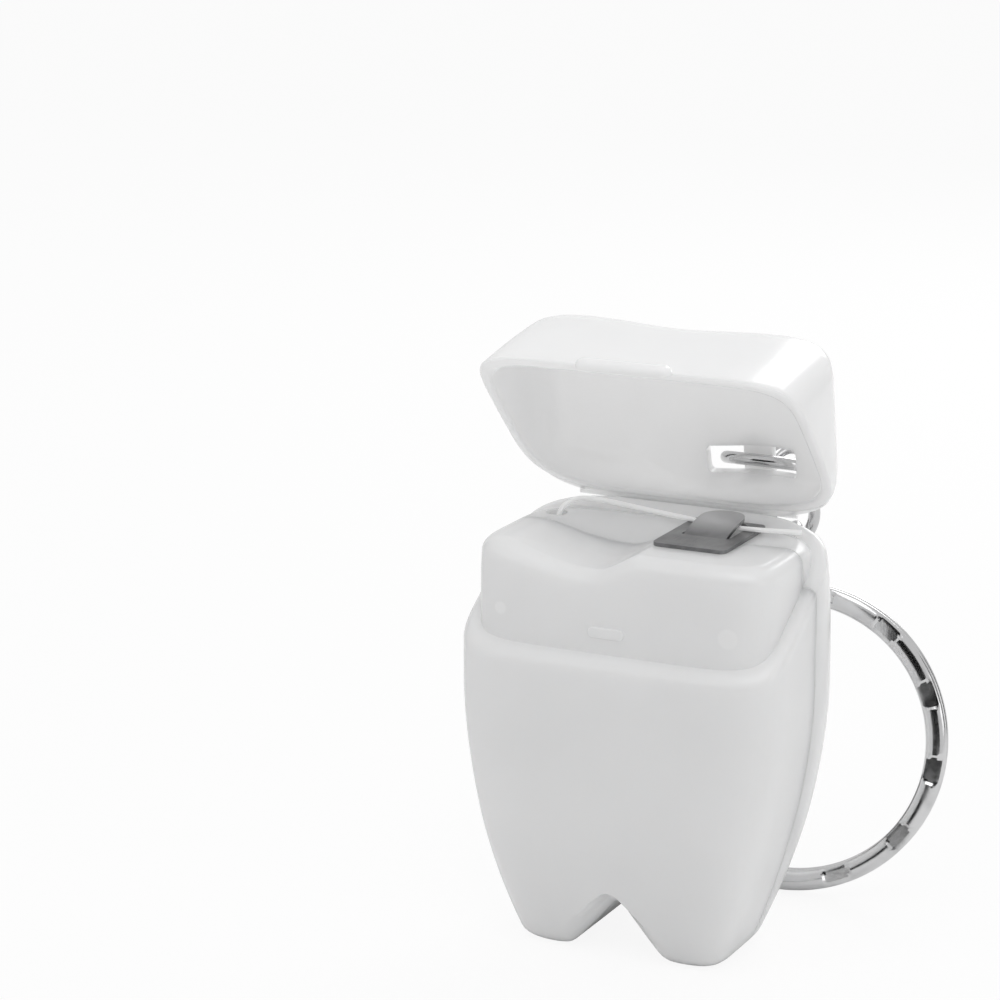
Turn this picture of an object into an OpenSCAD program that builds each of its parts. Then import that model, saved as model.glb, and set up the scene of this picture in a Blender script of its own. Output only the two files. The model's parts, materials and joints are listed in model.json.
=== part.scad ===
// Tooth-shaped dental floss dispenser on a key chain, drawn with its lid open.
// The front faces -Y and the root tips stand on z = 0. All sizes are in millimetres.

/* [Tooth body] */
// Width of the tooth at its widest
body_w = 31.8; // [30:0.2:34]
// Depth of the tooth, front to back
body_d = 20; // [19:0.5:23]
// Height of the tooth with the lid closed
body_h = 43.4; // [42.5:0.1:45]
// Width over the outer edges of the two roots
root_w = 20; // [18:0.2:23]
// Height at which the sides reach their full width
swell_z = 25; // [22:1:30]
// How far the front draws in at the root tips
front_tuck = 2.5; // [1:0.1:3.5]
// How far the back draws in at the root tips
back_tuck = 4.4; // [2:0.1:5]
// Height over which front and back draw in
tuck_h = 14; // [10:0.5:20]
// How far the back draws in at the crown
back_draw = 3.2; // [2:0.1:4]
// How far each side draws in at the crown
crown_narrow = 0.9; // [0.2:0.1:1.2]
// Squareness of the cross-section's front corners
front_square = 7.2; // [4:0.2:8]
// Squareness of the cross-section's back corners
back_square = 3.8; // [3:0.1:6]
// Radius under the root tips
foot_r = 1.2; // [0.6:0.1:1.6]
// Height of the notch between the roots
notch_h = 5.1; // [3:0.1:6]
// Width of the notch at the root tips
notch_w = 9.6; // [7:0.1:11]
// Wall of the body shells
shell_wall = 1.6; // [1.2:0.1:2]
// Plane between front shell and rear cover
parting_y = 0.7; // [-0.5:0.1:1.5]
// Lowest point of the hollow in the body
hollow_z = 7.4; // [7:0.1:8.5]

/* [Crown lid] */
// Height of the cusps over the lid hinge
crown_rise = 3.6; // [3.2:0.1:4]
// Fall of the lid's edge from the hinge to the front
seam_fall = 11.3; // [9.8:0.1:11.8]
// Angle to which the lid is open
lid_open = 79; // [74:1:81]
// Wall of the lid
lid_wall = 1; // [0.9:0.05:1.2]
// Gap between lid and body along their edge
seam_gap = 0.12; // [0.08:0.01:0.2]
// Depth of the valley in the crown at the front
valley_front = 2.7; // [1:0.1:3]
// Depth of the valley in the crown at the back
valley_back = 1.2; // [0.5:0.1:2]
// Distance between the two cusps
cusp_gap = 17; // [15:0.5:20]
// Fall of the crown towards its left side
left_drop = 2.6; // [1:0.1:3]
// Fall of the crown towards its right side
right_drop = 4.4; // [2:0.1:4.8]
// Edge radius of the crown at the front and back
crown_r = 2.2; // [1.8:0.1:3]
// Edge radius of the crown at the sides
crown_side_r = 4.6; // [4:0.1:6]
// Width of the thumb tab
tab_w = 9.2; // [6:0.2:12]
// Height of the thumb tab
tab_h = 1.7; // [1.4:0.1:2.2]
// How far the thumb tab hangs below the lid's edge
tab_hang = 1.1; // [0.6:0.1:1.2]
// How far the thumb tab stands out
tab_out = 0.8; // [0.5:0.1:1]
// Length of the living hinge
web_len = 22; // [16:1:24]
// Radius of the living hinge at its bend
web_r = 0.3; // [0.25:0.01:0.35]
// Running clearance around the living hinge
web_clearance = 0.05; // [0.03:0.01:0.08]

/* [Neck and deck] */
// Gap between neck and lid
neck_gap = 0.3; // [0.25:0.05:0.4]
// Wall of the neck
neck_wall = 1.1; // [0.9:0.1:1.2]
// Fall from the lid hinge to the deck
deck_drop = 1.2; // [1:0.1:1.4]
// Thickness of the deck
deck_t = 1.3; // [1:0.1:1.6]
// Distance from the neck's back to the lid hinge
neck_back_gap = 1.5; // [1.1:0.1:1.9]
// Edge radius of the neck
neck_r = 1.5; // [1:0.1:2]
// Depth of the finger scoop
scoop_depth = 1.8; // [1.2:0.1:2]
// Deepest point of the finger scoop from the tooth's middle
scoop_x = -2.6; // [-3:0.1:-2.2]
// Reach of the finger scoop to the left of its deepest point
scoop_left = 8.7; // [7.5:0.1:9]
// Reach of the finger scoop to the right of its deepest point
scoop_right = 4.4; // [3.6:0.1:4.6]
// Radius of the floss hole
floss_hole_r = 1; // [0.8:0.1:1.1]
// Width of the snap bump on the neck
bump_w = 3.6; // [2:0.2:5]
// Height of the snap bump
bump_h = 1.1; // [0.8:0.1:1.5]
// How far the snap bump stands out
bump_out = 0.2; // [0.1:0.02:0.22]

/* [Cutter] */
// Width of the cutter plate
cutter_w = 7.2; // [6:0.1:7.4]
// Length of the cutter plate
cutter_len = 10.2; // [9:0.1:10.4]
// Thickness of the cutter sheet
cutter_t = 0.35; // [0.25:0.05:0.35]
// Width of the bent-up tongue
tongue_w = 4.2; // [3.5:0.1:4.4]
// Length of the bent-up tongue
tongue_len = 6; // [5:0.1:6.1]
// Height of the tongue's tip over the plate's underside
tongue_rise = 1; // [0.95:0.05:1.1]
// Gap between the tongue and the window that it was cut from
tongue_gap = 0.25; // [0.15:0.05:0.3]

/* [Spool] */
// Radius of the spool's flanges
flange_r = 10; // [8:0.25:10.5]
// Room between the spool and the neck's back wall
spool_room = 0.8; // [0.4:0.1:1.6]
// Thickness of a flange
flange_t = 0.8; // [0.6:0.1:1]
// Radius of the spool's hub
hub_r = 3.6; // [3.2:0.1:4.5]
// Radius of the post that the spool turns on
post_r = 2; // [1.5:0.1:2.3]
// Running clearance of the spool on its post
post_clearance = 0.08; // [0.05:0.01:0.1]
// Radius of the wound floss
winding_r = 9.2; // [6:0.1:9.4]
// Height of the spool's centre
spool_z = 18.4; // [18:0.1:19]
// End play between spool and the shoulders beside it
end_play = 0.2; // [0.1:0.05:0.3]

/* [Chain] */
// Thickness of the ring and link wire
wire_d = 1.15; // [1:0.05:1.2]
// Outside diameter of the jump ring
jump_od = 9.3; // [9:0.1:9.6]
// Width of the bridge that the jump ring goes through
bridge_w = 3; // [2.6:0.1:3.1]
// Width of each hole beside the bridge
eye_w = 2.8; // [2.6:0.1:3]
// Length of the holes, front to back
eye_len = 2.8; // [2.8:0.1:3.2]
// Thickness of the bridge
bridge_t = 1; // [0.8:0.1:1.1]
// Middle of the bridge from the tooth's middle
bridge_x = 6.1; // [5.6:0.1:6.3]
// Distance from the middle of the bridge to the lid hinge
bridge_back_gap = 4.2; // [4:0.1:4.4]
// Angle of the jump ring below the crown's normal
jump_angle = 26; // [24:1:27]
// Slack of the two links between jump ring and split ring
chain_slack = 0.14; // [0.1:0.01:0.3]
// How much longer the upper link is than the lower one
link_step = 1.3; // [0.8:0.1:1.8]
// Outside width of both links
link_w = 6.2; // [6:0.1:6.6]
// Play between two linked wires
link_play = 0.34; // [0.3:0.01:0.4]
// Play between the lower link and the split ring
split_play = 0.62; // [0.6:0.01:0.7]
// Gap between the ends of the bent wires
wire_end_gap = 0.15; // [0.1:0.05:0.3]
// Outside diameter of the split ring
split_od = 30; // [29:0.5:31]
// Radial width of the split ring's wire
split_w = 2; // [1.8:0.1:2.2]
// Thickness of one coil of the split ring
split_t = 1.1; // [1:0.05:1.2]
// Middle of the split ring from the tooth's middle
split_x = 7.3; // [6.8:0.1:7.6]
// Middle of the split ring behind the lid hinge
split_back_gap = 9.6; // [9.2:0.1:10.2]
// Turn of the split ring about the vertical
split_turn = 10; // [5:1:14]
// Backward lean of the split ring
split_lean = 10; // [6:1:12]
// Height of the split ring over the floor
split_floor_gap = 0.15; // [0.05:0.05:0.3]

/* [Floss] */
// Thickness of the floss strand
strand_d = 0.45; // [0.3:0.05:0.45]

/* [Hidden] */
$fn = 64;
// Points around a cross-section, and how far they move towards its corners
ring_points = 64;
corner_pull = 7;
big = 120;
eps = 0.01;

// Where front and back begin to draw in, below the cusps
draw_z = body_h - 17.4;
front_draw = 0.2;
// Where the sides begin to draw in, below the cusps
narrow_z = body_h - 10.4;
// How much deeper the tooth is behind its middle than before it
back_bulge = 0.2;

// Places shared by several pieces
front_y = -body_d / 2;
hinge_z = body_h - crown_rise;
hinge_y = back_y(hinge_z) - web_r;
seam_front_z = hinge_z - seam_fall;
deck_z = hinge_z - deck_drop;
neck_back_y = hinge_y - neck_back_gap;
bridge_y = hinge_y - bridge_back_gap;
split_y = hinge_y + split_back_gap;
spool_w = 2 * (neck_back_y - neck_wall - spool_room);
boss_wall = 1.2;
post_depth = 1.2;
post_tip_y = front_y + shell_wall + post_depth;
seam_tilt = atan((hinge_z - seam_front_z) / (hinge_y - front_y));
neck_inset = lid_wall + neck_gap;

// Half the tooth's width at a height
function half_w(z) = z < swell_z
    ? root_w / 2 + (body_w - root_w) / 2 * (1 - pow(1 - max(z, 0) / swell_z, 1.75))
    : body_w / 2 - crown_narrow * pow(max(0, z - narrow_z) / (body_h - narrow_z), 2);

// Front and back of the tooth at a height
function tuck(z) = pow(max(0, 1 - max(z, 0) / tuck_h), 2);
function draw_part(z) = pow(max(0, z - draw_z) / (body_h - draw_z), 2);
function front_at(z) = front_y + front_tuck * tuck(z) + front_draw * draw_part(z);
function back_y(z) = body_d / 2 + back_bulge - back_tuck * tuck(z) - back_draw * draw_part(z);

// Rounding under the root tips, as an inset
function foot_inset(z) = z > foot_r ? 0
    : foot_r - sqrt(max(0, foot_r * foot_r - pow(foot_r - max(z, 0), 2)));

// Directions of a cross-section's points from its middle, closer together towards the corners
function direction(i) = let (t = 360 * (i + 0.5) / ring_points) t + corner_pull * sin(4 * t);
turns = [for (i = [0 : ring_points - 1]) direction(i)];

// The point of the tooth's cross-section in direction t at height z, moved inwards by inset
function section(t, z, inset) =
    let (
        square = sin(t) < 0 ? front_square : back_square,
        across_x = abs(cos(t)) / (half_w(z) - inset),
        across_y = abs(sin(t)) / ((back_y(z) - front_at(z)) / 2 - inset),
        reach = pow(pow(across_x, square) + pow(across_y, square), -1 / square))
    [reach * cos(t), (front_at(z) + back_y(z)) / 2 + reach * sin(t)];

// Height of the crown over a point, with its two cusps and the valley between them
valley_x = 0.3;
function bell(v) = abs(v) < 1 ? (1 + cos(180 * v)) / 2 : 0;
function blend_y(y) = min(1, max(0, (y - front_y) / body_d));
function valley(y) = valley_front + (valley_back - valley_front) * blend_y(y);
function crown_at(x, y) = body_h - valley(y) * bell((x - valley_x) / (cusp_gap / 2))
    - (x < 0 ? left_drop : right_drop) * pow(abs(x) / (body_w / 2), 4);

// Height of the deck over a point, with the finger scoop, which fades out towards the back
scoop_flat_y = -2;
scoop_end_y = 6;
function scoop_fade(y) = y < scoop_flat_y ? 1 : bell((y - scoop_flat_y) / (scoop_end_y - scoop_flat_y));
function dish(v) = pow(max(0, 1 - v * v), 1.5);
function deck_at(x, y) = deck_z
    - scoop_depth * scoop_fade(y) * dish((x - scoop_x) / (x < scoop_x ? scoop_left : scoop_right));

// Top of a lofted solid: the crown, the deck or a level plane
CROWN = 0;
DECK = 1;
LEVEL = 2;
function top_at(kind, level, x, y) = kind == CROWN ? crown_at(x, y) - level
    : kind == DECK ? deck_at(x, y) - level
    : level;
function edge_r(kind, t, inset) = kind == CROWN
    ? max(0.6, crown_r + (crown_side_r - crown_r) * pow(cos(t), 2) - inset)
    : kind == DECK ? neck_r : 0.4;

// One ring of points on the side wall, its height a share f of the way from z0 to the edge
function wall_point(t, f, z0, inset, kind, level) =
    let (
        p = section(t, deck_z, inset + edge_r(kind, t, inset)),
        z1 = top_at(kind, level, p.x, p.y) - edge_r(kind, t, inset),
        z = z0 + (z1 - z0) * f,
        q = section(t, z, inset + foot_inset(z)))
    [q.x, q.y, z];

// One ring of points on the rounded upper edge, a turn a from the side wall to the top
function edge_point(t, a, inset, kind, level) =
    let (
        r = edge_r(kind, t, inset),
        p = section(t, deck_z, inset + r),
        z1 = top_at(kind, level, p.x, p.y) - r,
        q = section(t, z1, inset + r * (1 - cos(a))),
        top = top_at(kind, level, q.x, q.y))
    [q.x, q.y, min(top, z1 + r * sin(a))];

// One ring of points on the top, a share f of the way from its middle to its edge
function top_point(t, f, inset, kind, level) =
    let (
        e = edge_point(t, 90, inset, kind, level),
        mid_y = (front_at(deck_z) + back_y(deck_z)) / 2,
        x = e.x * f,
        y = mid_y + (e.y - mid_y) * f)
    [x, y, top_at(kind, level, x, y) + (e.z - top_at(kind, level, e.x, e.y)) * pow(f, 6)];

// The tooth's shape from height z0 up to its top, moved inwards by inset
module tooth(z0, inset, kind, level, walls = 9, edges = 4, tops = 7) {
    rings = concat(
        [for (k = [0 : walls]) [for (t = turns) wall_point(t, k / walls, z0, inset, kind, level)]],
        [for (k = [1 : edges]) [for (t = turns) edge_point(t, 90 * k / edges, inset, kind, level)]],
        [for (k = [1 : tops]) [for (t = turns) top_point(t, 1 - k / (tops + 1), inset, kind, level)]]);
    count = len(rings);
    mid_y = (front_at(deck_z) + back_y(deck_z)) / 2;
    points = concat(
        [for (ring = rings) each ring],
        [[0, (front_at(z0) + back_y(z0)) / 2, z0], [0, mid_y, top_at(kind, level, 0, mid_y)]]);
    function at(k, i) = k * ring_points + i % ring_points;
    faces = concat(
        [for (k = [0 : count - 2]) for (i = [0 : ring_points - 1]) each
            [[at(k, i), at(k + 1, i), at(k + 1, i + 1)], [at(k, i), at(k + 1, i + 1), at(k, i + 1)]]],
        [for (i = [0 : ring_points - 1]) [at(0, i + 1), count * ring_points, at(0, i)]],
        [for (i = [0 : ring_points - 1]) [at(count - 1, i), count * ring_points + 1, at(count - 1, i + 1)]]);
    polyhedron(points, faces);
}

// Everything above the plane of the lid's edge, which runs up from the front to the hinge
module above_seam(lift) {
    translate([0, hinge_y, hinge_z])
        rotate([seam_tilt, 0, 0])
            translate([-big / 2, -big / 2, lift])
                cube(big);
}

module below_seam(lift) {
    translate([0, hinge_y, hinge_z])
        rotate([seam_tilt, 0, 0])
            translate([-big / 2, -big / 2, lift - big])
                cube(big);
}

module front_half() {
    translate([-big / 2, parting_y - big, -big / 2])
        cube(big);
}

module rear_half() {
    translate([-big / 2, parting_y, -big / 2])
        cube(big);
}

// The notch between the roots, right through the depth
module root_notch() {
    apex_r = 0.9;
    mid_z = notch_h - apex_r;
    slope = atan(2 * mid_z / notch_w) + asin(apex_r / norm([notch_w / 2, mid_z]));
    tangent = [apex_r * sin(slope), mid_z + apex_r * cos(slope)];
    foot = notch_w / 2 + 1 / tan(slope);
    rotate([90, 0, 0])
        linear_extrude(height = big, center = true) {
            polygon([[-foot, -1], [-tangent.x, tangent.y], tangent, [foot, -1]]);
            translate([0, mid_z])
                circle(apex_r, $fn = 32);
        }
}

// The body's outside, standing on level soles
module body_outside() {
    difference() {
        intersection() {
            tooth(-0.3, 0, LEVEL, hinge_z + 2, walls = 14, edges = 1, tops = 1);
            translate([-big / 2, -big / 2, 0])
                cube(big);
            below_seam(0);
        }
        root_notch();
    }
}

// The hollow that holds the spool
module body_hollow() {
    tooth(hollow_z, shell_wall, LEVEL, seam_front_z - shell_wall, walls = 6, edges = 2, tops = 1);
}

// The hollow under the deck, open to the body's hollow below
module neck_hollow() {
    intersection() {
        tooth(seam_front_z - 4, neck_inset + neck_wall, DECK, deck_t, walls = 3, edges = 3, tops = 6);
        translate([-big / 2, neck_back_y - neck_wall - big, 0])
            cube(big);
    }
}

module neck_outside() {
    intersection() {
        tooth(seam_front_z - 3, neck_inset, DECK, 0, walls = 4, edges = 4, tops = 9);
        translate([-big / 2, neck_back_y - big, 0])
            cube(big);
    }
}

// Body and neck in one piece, with the hollow inside and the hole for the floss
module case_outside() {
    body_outside();
    neck_outside();
    snap_bump();
}

module floss_hole() {
    translate([floss_hole_x, floss_hole_y, deck_z - 6])
        cylinder(h = 8, r = floss_hole_r);
}

floss_hole_x = -11.4;
floss_hole_y = 3.4;

module front_shell() {
    color([0.96, 0.96, 0.95])
        difference() {
            intersection() {
                case_outside();
                front_half();
            }
            difference() {
                body_hollow();
                post_boss();
            }
            neck_hollow();
            about_spool()
                translate([0, 0, -post_tip_y - 4])
                    cylinder(h = 4.3, r = post_r + post_clearance);
        }
}

bump_x = -0.7;
bump_z = 31.3 - 28.5 + seam_front_z;

// The rounded bump that holds the closed lid
module snap_bump() {
    translate([bump_x, front_at(bump_z) + neck_inset - bump_out, bump_z])
        rotate([-90, 0, 0])
            pill(bump_w, bump_h, neck_wall);
}

// A bar with round ends, standing on its back
module pill(width, height, depth) {
    linear_extrude(height = depth) {
        square([width - height, height], center = true);
        for (side = [-1, 1])
            translate([side * (width - height) / 2, 0])
                circle(height / 2, $fn = 32);
    }
}

// The boss in the front shell that takes the tip of the spool's post
module post_boss() {
    about_spool()
        translate([0, 0, spool_w / 2 + end_play])
            cylinder(h = body_d / 2, r = post_r + boss_wall);
}

module rear_cover() {
    color([0.96, 0.96, 0.95])
        difference() {
            union() {
                difference() {
                    intersection() {
                        case_outside();
                        rear_half();
                    }
                    body_hollow();
                    neck_hollow();
                }
                spool_post();
            }
            floss_hole();
            cutter_seat();
            hinge_groove();
        }
}

// Room over the deck for the cutter, level with the deck
cutter_fit = 0.05;

module cutter_seat() {
    translate([cutter_x - cutter_fit, cutter_y - cutter_fit, deck_z])
        cube([cutter_w + 2 * cutter_fit, cutter_len + 2 * cutter_fit, big]);
}

// The post that the spool turns on, with a shoulder behind the spool
module spool_post() {
    back_inner = back_y(spool_z) - shell_wall + 0.4;
    translate([0, back_inner, spool_z])
        rotate([90, 0, 0]) {
            cylinder(h = back_inner - post_tip_y, r = post_r);
            cylinder(h = back_inner - spool_w / 2 - end_play, r = post_r + boss_wall);
        }
}

// The groove around the living hinge, wider beyond its ends so that the edges pass
module hinge_groove() {
    translate([0, hinge_y, hinge_z])
        rotate([0, 90, 0]) {
            cylinder(h = web_len + 2 * web_clearance, r = web_r + web_clearance, center = true);
            for (side = [-1, 1])
                translate([0, 0, side * (web_len / 2 + web_clearance + big / 2)])
                    cylinder(h = big, r = web_r + 0.2, center = true);
        }
}

module hinge_web() {
    color([0.96, 0.96, 0.95])
        translate([0, hinge_y, hinge_z])
            rotate([0, 90, 0])
                cylinder(h = web_len, r = web_r, center = true);
}

// Turns the closed lid to the angle at which it is drawn
module opened() {
    translate([0, hinge_y, hinge_z])
        rotate([-lid_open, 0, 0])
            translate([0, -hinge_y, -hinge_z])
                children();
}

wire_r = wire_d / 2;
jump_r = (jump_od - wire_d) / 2;
eye_top_z = crown_at(bridge_x, bridge_y);
wire_z = eye_top_z - lid_wall - 0.1;
bridge_low_z = wire_z + jump_r - sqrt(pow(jump_r - wire_r, 2) - pow(bridge_w / 2, 2)) + 0.12;

module eye(side) {
    translate([bridge_x + side * (bridge_w + eye_w) / 2, bridge_y, eye_top_z - 5])
        linear_extrude(height = 10)
            square([eye_w, eye_len], center = true);
}

// The raised bridge between the two holes, and the hollow under it for the wire
module bridge() {
    translate([bridge_x - bridge_w / 2, bridge_y - eye_len / 2 - 1, bridge_low_z])
        cube([bridge_w, eye_len + 2, bridge_t]);
}

module bridge_hollow() {
    translate([bridge_x - bridge_w / 2 - eps, bridge_y - eye_len / 2, bridge_low_z - 6])
        cube([bridge_w + 2 * eps, eye_len, 6]);
}

// The thumb tab, of which the lower part hangs clear of the body in front of it
tab_gap = 0.12;

module thumb_tab(depth) {
    translate([0, front_at(seam_front_z) - tab_out, seam_front_z - tab_hang + tab_h / 2])
        rotate([-90, 0, 0])
            pill(tab_w, tab_h, depth);
}

module lid() {
    color([0.97, 0.97, 0.96])
        opened()
            difference() {
                union() {
                    intersection() {
                        union() {
                            tooth(seam_front_z - 1, 0, CROWN, 0, walls = 5, edges = 5, tops = 8);
                            thumb_tab(tab_out + lid_wall - 0.1);
                        }
                        above_seam(seam_gap);
                    }
                    bridge();
                    thumb_tab(tab_out - tab_gap);
                }
                intersection() {
                    tooth(seam_front_z - 2, lid_wall, CROWN, lid_wall, walls = 5, edges = 4, tops = 8);
                    translate([-big / 2, -big / 2, 0])
                        cube([big, big, big]);
                }
                eye(-1);
                eye(1);
                bridge_hollow();
                hinge_groove();
            }
}

cutter_x = 1.5;
cutter_y = neck_back_y - cutter_len;
window_y = cutter_y + 4;

// The steel cutter: a plate with a window, and the tongue that was bent up out of it
module cutter() {
    mid = cutter_x + cutter_w / 2;
    color([0.6, 0.61, 0.63])
        translate([0, 0, deck_z]) {
            linear_extrude(height = cutter_t)
                difference() {
                    union() {
                        translate([cutter_x + 1, cutter_y])
                            square([cutter_w - 1, cutter_len]);
                        translate([cutter_x, cutter_y + 1])
                            square([cutter_w, cutter_len - 3]);
                        translate([cutter_x + 1, cutter_y + 1])
                            circle(1, $fn = 32);
                    }
                    tongue_outline(mid, tongue_gap);
                }
            intersection() {
                linear_extrude(height = tongue_rise + 3 * cutter_t)
                    tongue_outline(mid, 0);
                translate([mid - cutter_w / 2, 0, 0])
                    rotate([90, 0, 90])
                        linear_extrude(height = cutter_w)
                            polygon(concat(
                                [[window_y - 0.3, 0]],
                                [for (bend = tongue_bends) [window_y + bend.x, tongue_rise * bend.y]],
                                [for (k = [3 : -1 : 0]) let (bend = tongue_bends[k])
                                    [window_y + bend.x - (k < 3 ? 0.12 : 0), tongue_rise * bend.y + cutter_t]],
                                [[window_y - 0.3, cutter_t]]));
            }
        }
}

// Side view of the tongue: distance from its root, and share of its rise
tongue_bends = [[0, 0], [2, 0.62], [4, 0.88], [tongue_len, 1]];

module tongue_outline(mid, grow) {
    r = tongue_w / 2 + grow;
    start = window_y - (grow > 0 ? 0 : 0.3);
    translate([mid - r, start])
        square([2 * r, tongue_len - tongue_w / 2 + window_y - start]);
    translate([mid, window_y + tongue_len - tongue_w / 2])
        circle(r, $fn = 48);
}

module about_spool() {
    translate([0, 0, spool_z])
        rotate([90, 0, 0])
            children();
}

module floss_spool() {
    bore_r = post_r + post_clearance;
    inner_w = spool_w - 2 * flange_t;
    color([0.93, 0.94, 0.95])
        about_spool()
            rotate_extrude($fn = 96)
                polygon([[bore_r, -spool_w / 2], [flange_r, -spool_w / 2], [flange_r, -inner_w / 2],
                    [hub_r, -inner_w / 2], [hub_r, inner_w / 2], [flange_r, inner_w / 2],
                    [flange_r, spool_w / 2], [bore_r, spool_w / 2]]);
}

module floss_winding() {
    width = spool_w - 2 * flange_t;
    color([0.99, 0.99, 0.98])
        about_spool()
            rotate_extrude($fn = 96)
                translate([hub_r, -width / 2])
                    square([winding_r - hub_r, width]);
}

// Vectors
function unit(v) = v / norm(v);
function across(v, d) = unit(v - (v * d) * d);
function twisted(v, d, a) = v * cos(a) + cross(d, v) * sin(a);
function turned_open(p) = [p.x,
    hinge_y + (p.y - hinge_y) * cos(lid_open) + (p.z - hinge_z) * sin(lid_open),
    hinge_z - (p.y - hinge_y) * sin(lid_open) + (p.z - hinge_z) * cos(lid_open)];

// Draws its children with their x along u, their y along v and their origin at o
module placed(o, u, v) {
    w = cross(u, v);
    multmatrix([[u.x, v.x, w.x, o.x], [u.y, v.y, w.y, o.y], [u.z, v.z, w.z, o.z], [0, 0, 0, 1]])
        children();
}

// The jump ring starts under the bridge and hangs back and down
jump_axis = turned_open([bridge_x, bridge_y, wire_z]);
jump_tilt = 90 - lid_open - jump_angle;
jump_dir = [0, cos(jump_tilt), sin(jump_tilt)];
chain_top = jump_axis + 2 * jump_r * jump_dir;

// The split ring stands on the floor behind the tooth
split_mean_r = (split_od - split_w) / 2;
split_u = [cos(split_turn), sin(split_turn), 0];
split_v = [-sin(split_turn) * sin(split_lean), cos(split_turn) * sin(split_lean), cos(split_lean)];
split_c = [split_x, split_y, split_od / 2 * cos(split_lean) + split_t * sin(split_lean) + split_floor_gap];
split_seat = split_mean_r - split_w / 2 - wire_r - split_play;
chain_end = split_c + split_seat * split_v;

// The two links bend a little between the jump ring and the split ring
hook = wire_d + link_play;
chain_len = norm(chain_end - chain_top);
upper_reach = (chain_len + chain_slack + link_step) / 2;
lower_reach = (chain_len + chain_slack - link_step) / 2;
upper_link_len = upper_reach + wire_d + hook;
lower_link_len = lower_reach + wire_d + hook;
chain_dir = unit(chain_end - chain_top);
chain_bend = acos(min(1, (upper_reach * upper_reach + chain_len * chain_len - lower_reach * lower_reach)
    / (2 * upper_reach * chain_len)));
upper_dir = chain_dir * cos(chain_bend) + across([0, 1, 0], chain_dir) * sin(chain_bend);
chain_mid = chain_top + upper_reach * upper_dir;
lower_dir = unit(chain_end - chain_mid);
upper_u = twisted(across([1, 0, 0], upper_dir), upper_dir, -60);
lower_u = twisted(across([1, 0, 0], lower_dir), lower_dir, -120);

module jump_ring() {
    gap = 360 * wire_end_gap / (2 * PI * jump_r);
    color([0.75, 0.75, 0.77])
        placed(jump_axis + jump_r * jump_dir, [1, 0, 0], jump_dir)
            rotate([0, 0, 50])
                rotate_extrude(angle = 360 - gap, $fn = 72)
                    translate([jump_r, 0])
                        circle(wire_r, $fn = 32);
}

// A long link of bent wire that starts at its near end and runs along y
module link(length) {
    r = (link_w - wire_d) / 2;
    straight = length - wire_d - 2 * r;
    translate([0, r, 0])
        rotate([0, 0, 180])
            rotate_extrude(angle = 180, $fn = 72)
                translate([r, 0])
                    circle(wire_r, $fn = 32);
    translate([0, r + straight, 0])
        rotate_extrude(angle = 180, $fn = 72)
            translate([r, 0])
                circle(wire_r, $fn = 32);
    translate([r, r, 0])
        rotate([-90, 0, 0])
            cylinder(h = straight, r = wire_r, $fn = 32);
    translate([-r, r, 0])
        rotate([-90, 0, 0])
            cylinder(h = (straight - wire_end_gap) / 2, r = wire_r, $fn = 32);
    translate([-r, r + (straight + wire_end_gap) / 2, 0])
        rotate([-90, 0, 0])
            cylinder(h = (straight - wire_end_gap) / 2, r = wire_r, $fn = 32);
}

module connector_link_upper() {
    color([0.75, 0.75, 0.77])
        placed(chain_top - hook * upper_dir, upper_u, upper_dir)
            link(upper_link_len);
}

module connector_link_lower() {
    color([0.75, 0.75, 0.77])
        placed(chain_mid - hook * lower_dir, lower_u, lower_dir)
            link(lower_link_len);
}

// Two coils of flat wire pressed together, joined over a short stretch
module split_ring() {
    color([0.72, 0.72, 0.74])
        placed(split_c, split_u, split_v) {
            coil(split_t / 2 + coil_gap / 2, 8);
            coil(-split_t / 2 - coil_gap / 2, 30);
            rotate([0, 0, 20])
                rotate_extrude(angle = 8, $fn = 96)
                    translate([split_mean_r, 0])
                        square([split_w - 0.4, split_t], center = true);
        }
}

coil_gap = 0.06;

module coil(level, start) {
    c = 0.25;
    w = split_w / 2;
    h = split_t / 2;
    translate([0, 0, level])
        rotate([0, 0, start])
            rotate_extrude(angle = 352, $fn = 120)
                translate([split_mean_r, 0])
                    polygon([[-w, -h + c], [-w + c, -h], [w - c, -h], [w, -h + c],
                        [w, h - c], [w - c, h], [-w + c, h], [-w, h - c]]);
}

// Height at which the floss crosses the cutter's plate
strand_z = deck_z + cutter_t + strand_d / 2 + 0.02;

// Route of the floss, from the winding up through the deck and under the cutter's tongue
strand_route = [
    [-9.8, 0.4, 20], [-10.9, 1.2, 26], [-11.5, 2.4, 32], [-11.4, 3.2, 36.5], [-11.2, 3.7, 38.6],
    [-10.5, 4.4, 39.5], [-9.3, 5.1, 39.8], [-7.3, 5.7, 39.6], [-4.3, 5.8, 39.3], [-0.7, 5.1, strand_z],
    [2, 4.4, strand_z], [4.7, 3.8, strand_z - 0.12], [7.3, 3.5, strand_z - 0.02], [9.4, 3.7, strand_z],
    [11.3, 4.3, strand_z - 0.05], [12.6, 5, strand_z - 0.15]];
strand_steps = 4;

// A smooth curve through the route's points
function route(i) = strand_route[min(max(i, 0), len(strand_route) - 1)];
function between(i, s) = let (a = route(i - 1), b = route(i), c = route(i + 1), d = route(i + 2))
    (2 * b + (c - a) * s + (2 * a - 5 * b + 4 * c - d) * s * s + (3 * b - a - 3 * c + d) * s * s * s) / 2;

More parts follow.
